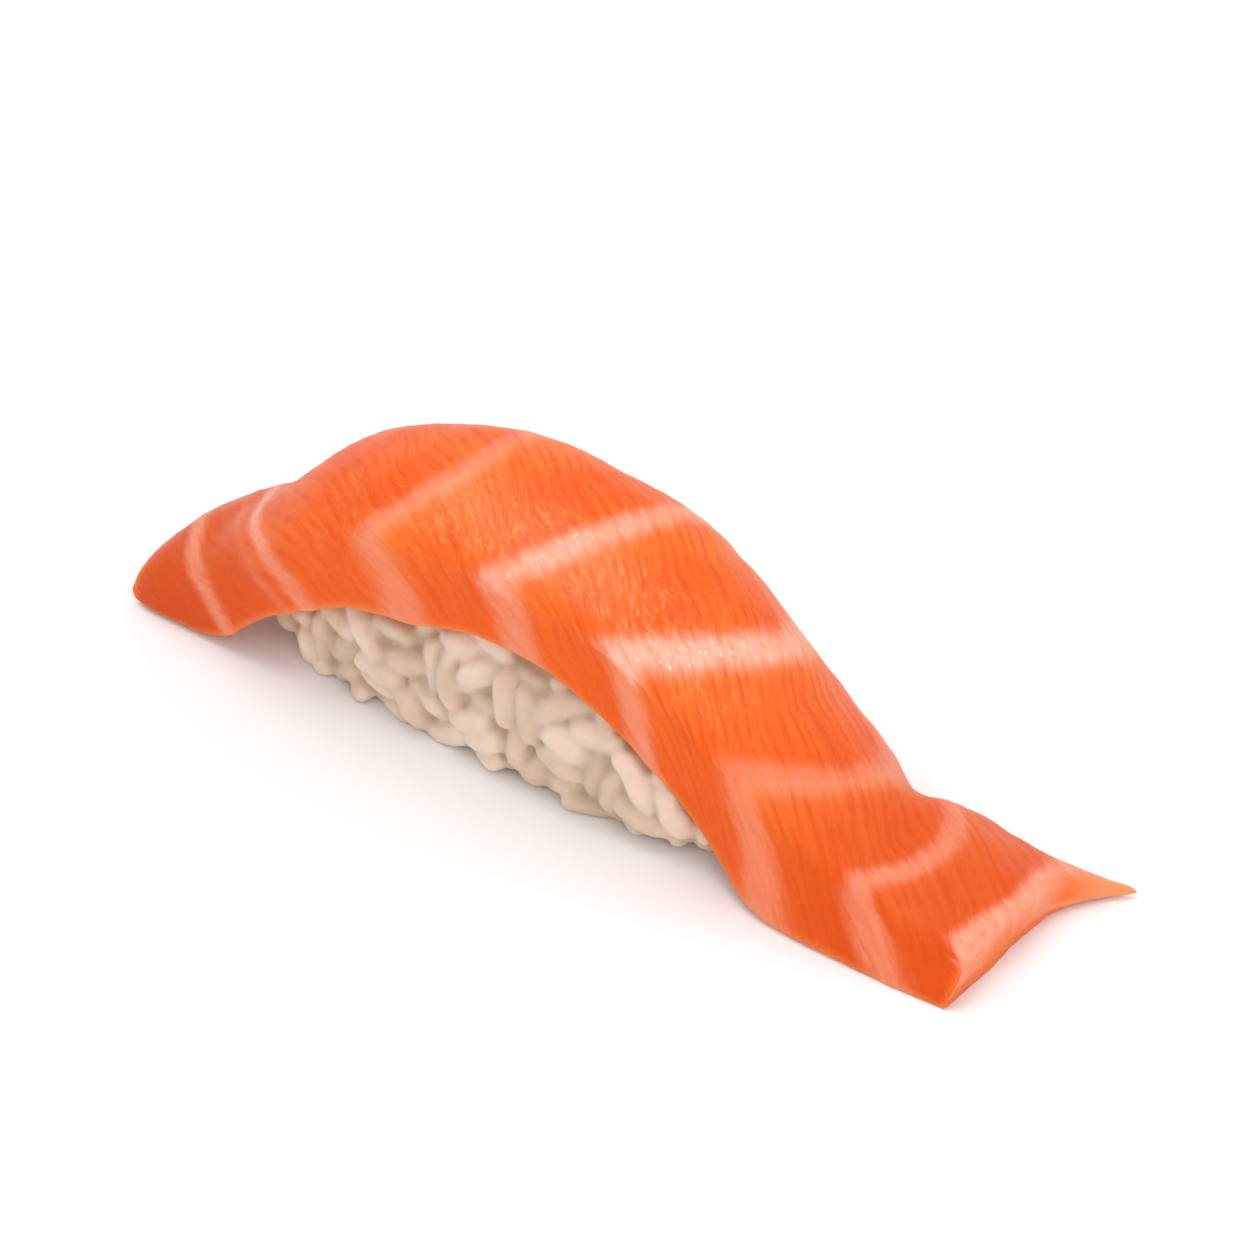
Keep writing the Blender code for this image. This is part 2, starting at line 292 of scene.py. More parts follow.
def labelled_outline(row):
    """The slice's closed section as rows of y, z, distance back over the top, depth and share of it.

    It starts halfway up the front cut, so that a row's number mirrored lies opposite, on the underside.
    """
    top, under = top_and_underside(row)
    across = np.r_[0, np.cumsum(np.linalg.norm(np.diff(top, axis=0), axis=1))]
    depth = np.linalg.norm(top - under, axis=1)
    upper = np.column_stack([top, across, np.zeros((len(top), 2))])
    lower = np.column_stack([under, across, depth, np.ones(len(top))])[::-1]
    halfway = (lower[-1] + upper[0]) / 2
    half = FRONT_POINTS // 2
    parts = (
        evenly(np.vstack([halfway, upper[0]]), half),
        evenly(upper, TOP_POINTS),
        evenly(np.vstack([upper[-1], lower[0]]), BACK_POINTS),
        evenly(lower, TOP_POINTS),
        evenly(np.vstack([lower[-1], halfway]), half),
    )
    return np.vstack(parts)


def softened(points, radius):
    """The closed outline with its corners rounded."""
    around = np.diff(np.vstack([points, points[:1]])[:, :2], axis=0)
    step = np.linalg.norm(around, axis=1).sum() / len(points)
    reach = max(1, int(round(ROUNDING_REACH * radius / step)))
    offsets = np.arange(-reach, reach + 1)
    weights = np.exp(-0.5 * (offsets * step / radius) ** 2)
    weights /= weights.sum()
    return sum(w * np.roll(points, k, axis=0) for w, k in zip(weights, offsets))


def slice_section(x, row):
    """One section of the slice: y, z and its labels, its ridge softer towards the left end."""
    outline = labelled_outline(row)
    firm = softened(outline, EDGE_ROUNDING)
    soft = softened(outline, SOFT_ROUNDING)
    left = 1 - passed(x, SOFT_RIDGE_X)
    near_ridge = np.exp(-((outline[:, 2:4] / SOFT_RIDGE_REACH) ** 2).sum(axis=1))
    share = (SOFT_RIDGE_SHARE * left * near_ridge)[:, None]
    section = firm * (1 - share) + soft * share
    section[:, 2:] = firm[:, 2:]
    return section


def grid_normals(points):
    """Outward unit normals of a grid of points whose columns run round a closed section."""
    around = np.roll(points, -1, axis=1) - np.roll(points, 1, axis=1)
    along = np.gradient(points, axis=0)
    normal = np.cross(around, along)
    return normal / np.maximum(np.linalg.norm(normal, axis=2), 1e-9)[:, :, None]


def stripe_values(x, across, depth, stretch):
    """Each point's distance from the nearest stripe's middle, in half widths, and that stripe's paleness.

    The third value fades from 1 to 0 over the flesh that follows a stripe, which is lighter there.
    """
    nearest = np.full(len(x), STRIPE_FAR)
    pale = np.zeros(len(x))
    after = np.zeros(len(x))
    for stripe in STRIPES:
        swing = stripe.top * (1 - (across / stripe.reach - 1) ** 2)
        lean = -2 * stripe.top * (across / stripe.reach - 1) / stripe.reach
        drop = stripe.slope * depth + stripe.bow * depth**2
        on_cut = np.clip(depth / STRIPE_TURN, 0, 1) * np.clip(1 - across / STRIPE_TURN, 0, 1)
        lean = np.where(on_cut > 0.5, stripe.slope, lean)
        wide = stripe.wide + (stripe.wide_cut - stripe.wide) * on_cut
        offset = (x - stripe.x - swing - drop) * stretch / np.sqrt(1 + (lean * stretch) ** 2)
        after = np.where(offset > 0, np.clip(1 - offset / AFTER_STRIPE, 0, 1), after)
        offset = offset / (wide / 2)
        closer = np.abs(offset) < np.abs(nearest)
        nearest = np.where(closer, offset, nearest)
        pale = np.where(closer, stripe.pale, pale)
    return np.abs(nearest), pale, after


def slice_grid():
    """The slice's body as a grid of points with labels x, across, depth and share, before its relief."""
    first, last = STATIONS[0].x, STATIONS[-1].x
    at = np.linspace(first + END_INSET, last - END_INSET, SLICE_ROWS)
    points, labels = [], []
    for x, row in zip(at, stations_at(at)):
        section = slice_section(x, row)
        reach = passed(x, (TIP_FLARE_X, last)) ** 2
        run = passed(section[:, 0], TIP_FLARE_Y) ** 1.6
        points.append(np.column_stack([x + TIP_FLARE * run * reach, section[:, :2]]))
        labels.append(np.column_stack([np.full(len(section), x), section[:, 2:]]))
    return np.array(points), np.array(labels)


def add_caps(points, labels):
    """The grid with rings added at both ends that close in on the line halfway through the slice."""
    mirror = (-np.arange(points.shape[1])) % points.shape[1]
    for end, sign in ((0, -1), (-1, 1)):
        ring, ring_labels = points[end], labels[end]
        middle = (ring + ring[mirror]) / 2
        middle_labels = (ring_labels + ring_labels[mirror]) / 2
        rings, ring_sets = [], []
        for k in range(1, CAP_RINGS + 1):
            close = k / (CAP_RINGS + 0.5)
            out = CAP_BULGE * np.sqrt(1 - (1 - close) ** 2) * sign
            rings.append(ring + (middle - ring) * close + np.array([out, 0, 0]))
            inner = ring_labels + (middle_labels - ring_labels) * close
            ring_sets.append(inner + np.array([CAP_LABEL_RUN * close * sign, 0, 0, 0]))
        if end == 0:
            points = np.vstack([rings[::-1], points])
            labels = np.vstack([ring_sets[::-1], labels])
        else:
            points = np.vstack([points, rings])
            labels = np.vstack([labels, ring_sets])
    return points, labels


def grid_faces(rows, columns):
    """Quads over the grid, which is closed round its columns, and quads that zip up both ends."""
    index = np.arange(rows * columns).reshape(rows, columns)
    turned = np.roll(index, -1, axis=1)
    quads = np.stack([index[:-1], index[1:], turned[1:], turned[:-1]], -1).reshape(-1, 4)
    faces = quads.tolist()
    for loop in (index[0], index[-1][::-1]):
        for i in range(columns // 2):
            corners = dict.fromkeys(k % columns for k in (i, i + 1, -i - 1, -i))
            faces.append([int(loop[k]) for k in corners])
    return faces


def fibre_lines(x, across, depth):
    """Place in the muscle: across the fibres, along them, and into the slice. They fan between stripes."""
    fine = np.linspace(STATIONS[0].x - CAP_LABEL_RUN, STATIONS[-1].x + CAP_LABEL_RUN, FIBRE_STEPS)
    edges = np.array([fine[0]] + [stripe.x for stripe in STRIPES] + [fine[-1]])
    between = np.searchsorted(edges, fine).clip(1, len(edges) - 1)
    part = (fine - edges[between - 1]) / (edges[between] - edges[between - 1])
    slant = FIBRE_SLANT[0] + (FIBRE_SLANT[1] - FIBRE_SLANT[0]) * part
    slid = np.r_[0, np.cumsum(slant[1:] * np.diff(fine))]
    over = across + np.interp(x, fine, slid) - CUT_SLANT * depth
    return np.column_stack([over, x - FIBRE_DRIFT * across, depth])


def slope_stretch(x):
    """How much longer the slice's crest is than it looks from above, at each x."""
    at = np.linspace(STATIONS[0].x, STATIONS[-1].x, CREST_STEPS)
    rise = np.gradient(stations_at(at)[:, 5], at)
    return np.sqrt(1 + np.interp(x, at, rise) ** 2)


def slice_relief(solid, offset, fibre):
    """How far each point stands out: pillows between stripes, gentle waves and fine strands, in mm."""
    between = np.clip(offset / PILLOW_REACH, 0, 1) ** PILLOW_STEEPNESS - PILLOW_LEVEL
    waves, ripples = (noise(solid / size, seed) for size, seed in zip(WAVE_SIZES, WAVE_SEEDS))
    coarse, fine = (noise(fibre * scale, seed) for scale, seed in zip(STRAND_SCALES, STRAND_SEEDS))
    flesh = 1 - np.clip(FIBRE_START - offset, 0, 1)
    relief = PILLOW * between
    relief += WAVE * (waves + 0.5 * ripples)
    relief += FIBRE_RELIEF * (coarse + 0.5 * fine) * flesh
    return relief


def make_slice(material):
    points, labels = add_caps(*slice_grid())
    rows, columns = points.shape[:2]
    normals = grid_normals(points).reshape(-1, 3)
    place = labels[:, :, :3].reshape(-1, 3)
    share = labels[:, :, 3].ravel()
    strayed = place[:, 0] + STRIPE_WAVER * noise(place / STRIPE_WAVER_SIZE, STRIPE_SEED)
    offset, pale, after = stripe_values(strayed, place[:, 1], place[:, 2], slope_stretch(place[:, 0]))
    fibre = fibre_lines(*place.T)
    solid = points.reshape(-1, 3)
    solid = solid + normals * slice_relief(solid, offset, fibre)[:, None]
    waver = passed(place[:, 1], BACK_EDGE) * noise(solid * (1 / BACK_WAVER_SIZE, 0, 0), BACK_SEED)
    solid[:, 1] += BACK_WAVER * waver
    solid[:, 2] = np.maximum(solid[:, 2], FLESH_LOWEST)
    attributes = (
        ("stripe", np.column_stack([offset, pale, share])),
        ("fibre", fibre),
        ("place", place),
        ("after", after),
    )
    return new_object("salmon_flesh", solid, grid_faces(rows, columns), material, attributes)


# The rice


def grain_shape():
    """One grain along X with unit length, width and thickness, and its faces."""
    u = np.linspace(0, np.pi, GRAIN_STEPS + 1)[1:-1]
    v = np.linspace(0, 2 * np.pi, GRAIN_AROUND, endpoint=False)
    along = -np.cos(u) / 2
    radius = np.sin(u) ** GRAIN_BLUNTNESS / 2
    points = [(-0.5, 0, 0)]
    for x, r in zip(along, radius):
        taper = 1 - GRAIN_TAPER * (x + 0.5)
        points += [(x, r * taper * np.cos(a), r * taper * np.sin(a)) for a in v]
    points.append((0.5, 0, 0))
    faces = []
    rings = len(u)
    for i in range(rings - 1):
        for j in range(GRAIN_AROUND):
            a, b = 1 + i * GRAIN_AROUND + j, 1 + i * GRAIN_AROUND + (j + 1) % GRAIN_AROUND
            faces.append((a, a + GRAIN_AROUND, b + GRAIN_AROUND, b))
    last = len(points) - 1
    for j in range(GRAIN_AROUND):
        k = (j + 1) % GRAIN_AROUND
        faces.append((0, 1 + j, 1 + k))
        faces.append((last, last - GRAIN_AROUND + k, last - GRAIN_AROUND + j))
    return np.array(points), faces


def surface_of(node):
    """A CAD node's surface, for finding its nearest point, in metres."""
    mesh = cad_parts[node].data
    return BVHTree.FromPolygons([v.co for v in mesh.vertices], [p.vertices for p in mesh.polygons])


def random_places(rng):
    """Places scattered at random over the rice solid's surface, in frame mm."""
    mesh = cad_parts["rice_bed"].data
    mesh.calc_loop_triangles()
    corners = np.array([[mesh.vertices[i].co for i in t.vertices] for t in mesh.loop_triangles]) / MM
    area = np.linalg.norm(np.cross(corners[:, 1] - corners[:, 0], corners[:, 2] - corners[:, 0]), axis=1)
    pick = rng.choice(len(corners), TRIED_PLACES, p=area / area.sum())
    a, b = rng.random((2, TRIED_PLACES, 1))
    flip = a + b > 1
    a, b = np.where(flip, 1 - a, a), np.where(flip, 1 - b, b)
    return corners[pick, 0] * (1 - a - b) + corners[pick, 1] * a + corners[pick, 2] * b


def spaced_places(rng):
    """Some of the random places, none of them too near another."""
    places = random_places(rng)
    kept = [places[0]]
    spacing = FIRST_SPACING
    for place in places[1:]:
        if np.min(np.linalg.norm(np.array(kept) - place, axis=1)) > spacing:
            kept.append(place)
            spacing -= SPACING_STEP
    return np.array(kept)


def in_rows(middles, directions):
    """The three balls of each grain, in a row along its direction."""
    return middles[:, None] + BALL_OFFSETS * BALL_SPACING * directions[:, None]


def pushed_apart(balls, owner):
    """The balls moved away from those of other grains that they overlap."""
    gap = balls[:, None] - balls[None]
    apart = np.linalg.norm(gap, axis=2)
    close = (apart < BALL_TOUCH) & (owner[:, None] != owner[None])
    push = np.where(close, (BALL_TOUCH - apart) / np.maximum(apart, BALL_LEAST_GAP), 0)
    return balls + PUSH_SHARE * (gap * push[:, :, None]).sum(axis=1)


def drawn_to_depth(balls, depths, surface):
    """The balls moved part of the way to their depths below the rice solid's surface."""
    moved = []
    for ball, depth in zip(balls, depths):
        spot, normal, _, _ = surface.find_nearest(Vector(ball * MM))
        spot, normal = np.array(spot) / MM, np.array(normal)
        height = (ball - spot) @ normal
        share = SINK_SHARE if height > -depth else RISE_SHARE
        moved.append(ball - normal * (depth + height) * share)
    return np.array(moved)


def pack_grains(rng):
    """Where each grain lies: its middle and direction in frame mm, pushed apart until they only touch."""
    middles = spaced_places(rng)
    count = len(middles)
    surface = surface_of("rice_bed")
    directions = rng.normal(size=(count, 3))
    directions[:, 2] *= LYING
    directions = directions / np.linalg.norm(directions, axis=1)[:, None]
    depths = np.repeat(BALL_RADIUS * rng.uniform(*BALL_DEPTH, count), 3)
    owner = np.repeat(np.arange(count), 3)
    for _ in range(PACKING_ROUNDS):
        balls = pushed_apart(in_rows(middles, directions).reshape(-1, 3), owner)
        balls = drawn_to_depth(balls, depths, surface).reshape(-1, 3, 3)
        middles = balls.mean(axis=1)
        directions = balls[:, 2] - balls[:, 0]
        directions /= np.linalg.norm(directions, axis=1)[:, None]
    return middles, directions


def placed_grains():
    """Every grain's points and faces, joined, and the middles of the grains, all in mm."""
    shape, faces = grain_shape()
    rng = np.random.default_rng(SEED)
    middles, directions = pack_grains(rng)
    points, all_faces = [], []
    for k, (middle, direction) in enumerate(zip(middles, directions)):
        size = [rng.uniform(*limits) for limits in (GRAIN_LENGTH, GRAIN_WIDTH, GRAIN_THICKNESS)]
        side = np.cross(direction, rng.normal(size=3))
        side /= np.linalg.norm(side)
        up = np.cross(direction, side)
        grain = shape * size
        curl = rng.uniform(-GRAIN_CURL, GRAIN_CURL)
        grain[:, 1] += curl * (grain[:, 0] ** 2 - GRAIN_CURL_MIDDLE)
        uneven = GRAIN_UNEVEN * noise(grain / GRAIN_UNEVEN_SIZE + k * GRAIN_APART, GRAIN_SEED)
        grain = grain * (1 + uneven[:, None] * GRAIN_UNEVEN_SHARES)
        placed = middle + grain @ np.array([direction, side, up])
        placed[:, 2] = np.maximum(placed[:, 2], GRAIN_LOWEST)
        points.append(placed + MIDDLE)
        all_faces += [[i + k * len(shape) for i in face] for face in faces]
    return np.vstack(points), all_faces, middles + MIDDLE


def core_shape():
    """A smaller copy of the rice solid, in mm, which closes the gaps between the grains."""
    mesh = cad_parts["rice_bed"].data
    points = np.array([v.co for v in mesh.vertices]) / MM
    normals = np.array([v.normal for v in mesh.vertices])
    centre = points.mean(axis=0)
    points = points - normals * CORE_INSET
    points[:, 0] = centre[0] + (points[:, 0] - centre[0]) * CORE_LENGTH
    points[:, 2] = np.maximum(points[:, 2], CORE_LOWEST)
    return points + MIDDLE, [list(p.vertices) for p in mesh.polygons]


def blended(found, tones):
    """The tone between the nearest grains, mostly the nearest one's."""
    weights = [1 / max(distance, 1e-6) ** TONE_FALL for _, _, distance in found]
    return sum(w * tones[k] for w, (_, k, _) in zip(weights, found)) / sum(weights)


def grain_tones(points, middles):
    """A tone from 0 to 1 at each point, much the same over one grain."""
    tree = KDTree(len(middles))
    for k, middle in enumerate(middles):
        tree.insert(middle, k)
    tree.balance()
    tones = np.random.default_rng(SEED + 1).random(len(middles))
    return np.array([blended(tree.find_n(point, TONE_GRAINS), tones) for point in points], np.float32)


def hollows(points):
    """How far each point, in the frame's metres, lies below the rice solid's surface, in mm."""
    surface = surface_of("rice_bed")
    depths = []
    for point in points:
        spot, normal, _, _ = surface.find_nearest(Vector(point))
        depths.append((spot - Vector(point)).dot(normal) / MM)
    return np.array(depths, np.float32)


def vertex_rows(mesh, what):
    """A row for each vertex, which is its place for "co" or its normal for "normal"."""
    values = np.empty(len(mesh.vertices) * 3, np.float32)
    mesh.vertices.foreach_get(what, values)
    return values.reshape(-1, 3)


def fuse(obj):
    """Turns the overlapping shapes of a mesh object into one skin with filled creases."""
    remesh = obj.modifiers.new("fuse", "REMESH")
    remesh.mode = "VOXEL"
    remesh.voxel_size = FUSE_VOXEL * MM
    remesh.use_smooth_shade = True
    smooth = obj.modifiers.new("stick", "SMOOTH")
    smooth.factor = STICK_FACTOR
    smooth.iterations = STICK_ROUNDS
    graph = bpy.context.evaluated_depsgraph_get()
    mesh = bpy.data.meshes.new_from_object(obj.evaluated_get(graph))
    obj.modifiers.clear()
    obj.data = mesh


def roughen(mesh):
    """Moves the vertices a little in or out, as starch clings unevenly, and keeps them off the floor."""
    places = vertex_rows(mesh, "co")
    coarse, fine = (noise(places / MM / size, seed) for size, seed in zip(STARCH_SIZES, STARCH_SEEDS))
    uneven = STARCH * (coarse + 0.5 * fine)
    places = places + vertex_rows(mesh, "normal") * uneven[:, None] * MM
    places[:, 2] = np.maximum(places[:, 2], 0)
    mesh.vertices.foreach_set("co", places.astype(np.float32).ravel())


def make_rice(material):
    """The grains stuck together as cooked rice is: where two touch, the starch fills the crease."""
    points, faces, middles = placed_grains()
    core_points, core_faces = core_shape()
    faces += [[i + len(points) for i in face] for face in core_faces]
    rice = new_object("rice_grains", np.vstack([points, core_points]), faces, material)
    fuse(rice)
    mesh = rice.data
    places = vertex_rows(mesh, "co")
    add_values(mesh, "tone", grain_tones(places, to_frame(middles)))
    add_values(mesh, "hollow", hollows(places))
    roughen(mesh)
    mesh.materials.clear()
    mesh.materials.append(material)
    return rice


# Materials


def colour(red, green, blue):
    """A linear colour from the usual 0 to 255 screen values."""
    share = np.array((red, green, blue)) / 255
    linear = np.where(share <= 0.04045, share / 12.92, ((share + 0.055) / 1.055) ** 2.4)
    return (*linear.tolist(), 1.0)


FLESH = colour(240, 97, 26)
LIGHT_FLESH = colour(246, 111, 38)
LIGHTEST_FLESH = colour(252, 136, 60)  # just after a stripe
# painted shade: the deeper orange of the front cut
SHADED_CUT_FLESH = colour(238, 92, 10)
STRAND = colour(228, 76, 14)
SEAM = colour(228, 72, 12)
FIBRE = colour(254, 152, 84)
# painted highlight: the paler colour of the sheen on wet flesh
PAINTED_SHEEN = colour(255, 168, 96)
# painted shade: the darker colour towards both ends
PAINTED_END_SHADE = colour(210, 68, 14)
# the left end's browner colour: partly its own tone, partly painted shade
LEFT_END_TONE_AND_SHADE = colour(196, 70, 14)
# painted glow: the paler colour of the thin cut ends
THIN_END_GLOW = colour(248, 132, 70)
# painted glow: the pale colour of the thin tip
TIP_GLOW = colour(246, 166, 116)
# painted glow: the lighter colour of the thin lower front edge
FOOT_GLOW = colour(240, 146, 80)
PINK_FAT = colour(244, 148, 112)
WHITE_FAT = colour(252, 196, 174)
# painted highlight: the colour of small glints
GLINT = colour(255, 240, 224)
RICE_LIGHT = colour(234, 210, 191)
RICE_DARK = colour(214, 188, 163)
# painted shade: the darker colour in the rice's creases
RICE_CREASE_SHADE = colour(184, 154, 118)
FLOOR_WHITE = (0.95, 0.95, 0.95, 1)


class Nodes:
    """A material's node tree, with short ways to add and join nodes."""

    def __init__(self, name):
        self.material = bpy.data.materials.new(name)
        self.material.use_nodes = True
        self.tree = self.material.node_tree
        self.shader = self.tree.nodes["Principled BSDF"]

    def add(self, kind, **settings):
        node = self.tree.nodes.new(kind)
        for key, value in settings.items():
            setattr(node, key, value)
        return node

    def join(self, source, target):
        self.tree.links.new(source, target)

    def feed(self, value, target):
        """Sets a socket from a number, a colour or another socket."""
        if isinstance(value, bpy.types.NodeSocket):
            self.join(value, target)
        else:
            target.default_value = value

    def attribute(self, name):
        return self.add("ShaderNodeAttribute", attribute_name=name)

    def split(self, vector):
        node = self.add("ShaderNodeSeparateXYZ")
        self.join(vector, node.inputs[0])
        return node.outputs

    def math(self, operation, first, second=0.0, third=0.0, clamp=False):
        node = self.add("ShaderNodeMath", operation=operation, use_clamp=clamp)
        for value, target in zip((first, second, third), node.inputs):
            self.feed(value, target)
        return node.outputs[0]

    def times(self, *values):
        """The product of two or more sockets or numbers."""
        result = values[0]
        for value in values[1:]:
            result = self.math("MULTIPLY", result, value)
        return result

    def stray(self, value, strength, base=0.0):
        """Adds to base a noise value's distance from its middle, times strength."""
        return self.math("MULTIPLY_ADD", self.math("SUBTRACT", value, 0.5), strength, base)

    def ramp(self, value, low, high, start=0.0, end=1.0):
        """Eases from start to end as value goes from low to high."""
        node = self.add("ShaderNodeMapRange", interpolation_type="SMOOTHSTEP")
        for socket, setting in zip(node.inputs, (value, low, high, start, end)):
            self.feed(setting, socket)
        return node.outputs[0]

    def mix(self, share, first, second):
        node = self.add("ShaderNodeMix", data_type="RGBA")
        self.feed(share, node.inputs["Factor"])
        self.feed(first, node.inputs[6])
        self.feed(second, node.inputs[7])
        return node.outputs[2]

    def scaled(self, vector, scale):
        node = self.add("ShaderNodeVectorMath", operation="MULTIPLY")
        self.join(vector, node.inputs[0])
        node.inputs[1].default_value = scale
        return node.outputs[0]

    def noise(self, vector, scale, detail=2.0, rough=0.5, distortion=0.0):
        node = self.add("ShaderNodeTexNoise")
        self.join(vector, node.inputs["Vector"])
        node.inputs["Scale"].default_value = scale
        node.inputs["Detail"].default_value = detail
        node.inputs["Roughness"].default_value = rough
        node.inputs["Distortion"].default_value = distortion
        return node.outputs[0]

    def stretched_noise(self, vector, scale, detail=2.0, rough=0.5, distortion=0.0):
        """Noise with a scale of its own along each axis."""
        return self.noise(self.scaled(vector, scale), 1.0, detail, rough, distortion)

    def bump(self, height, strength, distance, normal=None):
        node = self.add("ShaderNodeBump")
        node.inputs["Strength"].default_value = strength
        node.inputs["Distance"].default_value = distance
        self.join(height, node.inputs["Height"])
        if normal is not None:
            self.join(normal, node.inputs["Normal"])
        return node.outputs[0]

    def put(self, name, value):
        """Sets one of the shader's inputs from a number or a socket."""
        self.feed(value, self.shader.inputs[name])


# What the salmon's material knows of a place on the slice: where it is, whole and in parts, where it
# is in the muscle, the nearest stripe, how far it is on the front cut, how wet it is, and its sheen
# patches, painted as paler highlights in the base colour. The share is 0 on the top and 1 on the underside.
Spot = namedtuple("Spot", "place x across depth fibre offset pale share wander on_cut wet fleck")
Muscle = namedtuple("Muscle", "seams strands fine")


def salmon_spot(n):
    place = n.attribute("place").outputs["Vector"]
    x, across, depth = n.split(place)
    fibre = n.attribute("fibre").outputs["Vector"]
    offset, pale, share = n.split(n.attribute("stripe").outputs["Vector"])
    wander = n.stray(n.noise(place, 0.8, 3.0), 1.2)
    on_cut = n.ramp(n.math("ADD", depth, wander), 0.0, 2.2)
    near_ridge = n.times(n.ramp(across, 0.0, 2.5), n.ramp(across, 6.0, 11.0, 1.0, 0.0))
    middle = n.times(n.ramp(x, -20.0, -8.0), n.ramp(x, 12.0, 22.0, 1.0, 0.0))
    wet = n.times(near_ridge, middle)
    # sheen patches: a painted highlight in the base colour, and more coat and finer coat bumps there
    fleck = n.ramp(n.stretched_noise(fibre, (1.7, 0.6, 0.8), 3.0, 0.75), 0.46, 0.72)
    return Spot(place, x, across, depth, fibre, offset, pale, share, wander, on_cut, wet, fleck)


def salmon_muscle(n, fibre):
    """Deeper seams about a millimetre apart, the strands between them and the finest fibres."""
    warp = n.stretched_noise(fibre, (0.28, 0.07, 0.2))
    phase = n.math("MULTIPLY_ADD", n.split(fibre)[0], 4.6, n.times(warp, 14.0))
    presence = n.ramp(n.stretched_noise(fibre, (0.75, 0.24, 0.3), 3.0, 0.6), 0.34, 0.64, 0.12, 1.0)
    seams = n.times(n.ramp(n.math("SINE", phase), -0.5, 1.0), presence)
    strands = n.stretched_noise(fibre, (1.15, 0.13, 0.4), 3.0, 0.55, 0.25)
    fine = n.stretched_noise(fibre, (3.4, 0.5, 1.2), 3.0, 0.6)
    return Muscle(seams, strands, fine)


def salmon_flesh(n, spot, muscle):
    """The flesh's colour: lighter after each stripe, seamed and fibred, plainer on the front cut and darker
    there as painted shade, with painted sheen where it is wet.
    """
    after = n.times(n.attribute("after").outputs["Fac"], n.ramp(spot.depth, 1.0, 6.0, 1.0, 0.15))
    after = n.times(after, n.ramp(spot.across, 14.0, 24.0, 1.0, 0.4))
    skin = n.mix(n.ramp(n.noise(spot.place, 0.16), 0.35, 0.7), FLESH, LIGHT_FLESH)
    skin = n.mix(n.times(after, 0.6), skin, LIGHTEST_FLESH)
    skin = n.mix(n.ramp(muscle.strands, 0.45, 0.75, 0.0, 0.4), skin, STRAND)
    skin = n.mix(n.times(muscle.seams, 0.56), skin, SEAM)
    skin = n.mix(n.ramp(muscle.fine, 0.5, 0.8, 0.0, 0.35), skin, FIBRE)
    # painted shade: the front cut mixed towards a deeper orange, which also makes it plainer
    skin = n.mix(n.times(spot.on_cut, 0.5), skin, SHADED_CUT_FLESH)
    # painted highlight: paler sheen mixed in over the wet patches near the ridge
    return n.mix(n.times(spot.wet, spot.fleck, 0.6), skin, PAINTED_SHEEN)


def salmon_ends(n, spot, muscle, skin):
    """Painted shade towards both ends, and a painted glow where light shines through the thin flesh: its
    ends, tip and lower front edge.
    """
    from_middle = n.math("ABSOLUTE", n.math("ADD", spot.x, 1.6))
    ragged = n.stray(muscle.fine, 1.6, from_middle)
    tip = n.times(n.ramp(spot.x, 39.5, 41.5), n.ramp(spot.across, 13.0, 17.0))
    foot = n.times(n.ramp(spot.share, 0.8, 1.0), n.ramp(spot.across, 0.5, 2.0, 1.0, 0.0))
    # painted shade: darker towards both ends, where the slice slopes away from the light above
    skin = n.mix(n.ramp(from_middle, 16.0, 36.0, 0.0, 0.5), skin, PAINTED_END_SHADE)
    # the left end browner: partly its own tone, partly painted shade where it slopes away from the light
    skin = n.mix(n.ramp(spot.x, -26.0, -42.0, 0.0, 0.4), skin, LEFT_END_TONE_AND_SHADE)
    # painted glow: the cut ends paler, as light shines through the thin flesh
    skin = n.mix(n.ramp(ragged, 42.2, 43.2, 0.0, 0.6), skin, THIN_END_GLOW)
    # painted glow: the thin back corner of the right end paler, as light shines through it
    skin = n.mix(n.times(tip, 0.7), skin, TIP_GLOW)
    # painted glow: the thin lower edge of the front cut paler, as light shines through it
    return n.mix(n.times(foot, 0.6), skin, FOOT_GLOW)


def salmon_fat(n, spot, muscle, skin):
    """Stripes: a pink band with a whiter, broken core that fades to the back, and painted glints where it
    is wet.
    """
    frayed = n.stray(muscle.strands, 0.7, spot.offset)
    frayed = n.stray(muscle.fine, 0.5, frayed)
    frayed = n.math("MULTIPLY_ADD", spot.wander, 0.25, frayed)
    streaks = n.ramp(n.math("MULTIPLY_ADD", muscle.fine, 0.6, muscle.strands), 0.6, 1.0, 1.0, 0.72)

    strength = n.times(spot.pale, n.ramp(spot.across, 5.0, 22.0, 1.0, 0.75))
    on_top = n.times(n.math("POWER", strength, 0.9), 0.8)
    on_cut = n.times(n.math("MULTIPLY", spot.pale, 1.9, clamp=True), 0.78)
    band = n.ramp(spot.on_cut, 0.0, 1.0, on_top, on_cut)
    band = n.times(band, streaks, n.ramp(frayed, 0.2, 1.6, 1.0, 0.0))

    broken = n.ramp(n.noise(spot.place, 1.1, 3.0, 0.6), 0.3, 0.6, 0.6, 1.0)
    core = n.times(n.math("POWER", strength, 3.0), broken, n.ramp(spot.on_cut, 0.0, 1.0, 1.0, 0.1))
    core = n.times(core, streaks, n.ramp(frayed, 0.1, 1.3, 1.0, 0.0))

    sparks = n.ramp(n.stretched_noise(spot.fibre, (2.4, 1.3, 1.0)), 0.62, 0.70)
    # painted highlight: small whitish glints on the stripes' cores near the ridge
    glint = n.times(sparks, spot.wet, n.ramp(core, 0.25, 0.6))
    skin = n.mix(band, skin, PINK_FAT)
    skin = n.mix(core, skin, WHITE_FAT)
    return n.mix(glint, skin, GLINT)


